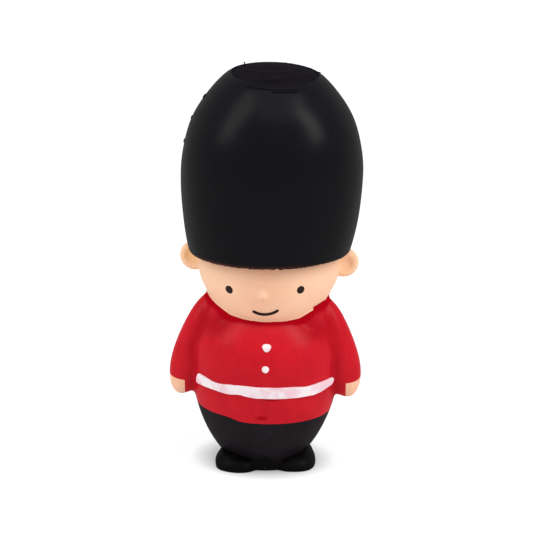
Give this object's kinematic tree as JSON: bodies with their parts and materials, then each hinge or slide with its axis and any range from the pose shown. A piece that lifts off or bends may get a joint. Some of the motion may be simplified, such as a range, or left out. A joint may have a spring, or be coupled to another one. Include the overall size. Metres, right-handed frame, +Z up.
{
  "type": "toy soldier figure",
  "caption": "Soft foam toy guardsman with a tall rounded black hat, round face, red coat with white belt and buttons, arms at the sides, dark trousers and flat-soled shoes.",
  "frame": {"origin": "on the floor under the middle of the figure, at the bottom centre of its bounding box", "axes": "+Z up towards the crown of the hat, -Y the way the face looks, +X towards the figure's own left hand"},
  "size_m": [0.058, 0.054, 0.12],
  "materials": {
    "foam_cream": "soft open foam, matt",
    "hat_black": "matt self-skinned foam with fine pores",
    "skin_paint": "satin elastic paint on foam skin",
    "line_brown": "semi-gloss dots and line of paint",
    "coat_red": "satin elastic paint on foam skin",
    "belt_white": "thick brushed paint, satin",
    "trouser_black": "matt elastic paint on foam skin",
    "shoe_black": "matt elastic paint on foam skin"
  },
  "bodies": {
    "root": {"foam_core": "foam_cream", "hat_skin": "hat_black", "gate_stub": "hat_black", "face_skin": "skin_paint", "ear_left": "skin_paint", "ear_right": "skin_paint", "nose": "skin_paint", "eye_left": "line_brown", "eye_right": "line_brown", "mouth": "line_brown", "coat_skin": "coat_red", "sleeve_left": "coat_red", "sleeve_right": "coat_red", "hand_left": "skin_paint", "hand_right": "skin_paint", "belt_front": "belt_white", "belt_back": "belt_white", "button_upper": "belt_white", "button_lower": "belt_white", "trousers_skin": "trouser_black", "shoe_left": "shoe_black", "shoe_right": "shoe_black"}
  },
  "joints": []
}
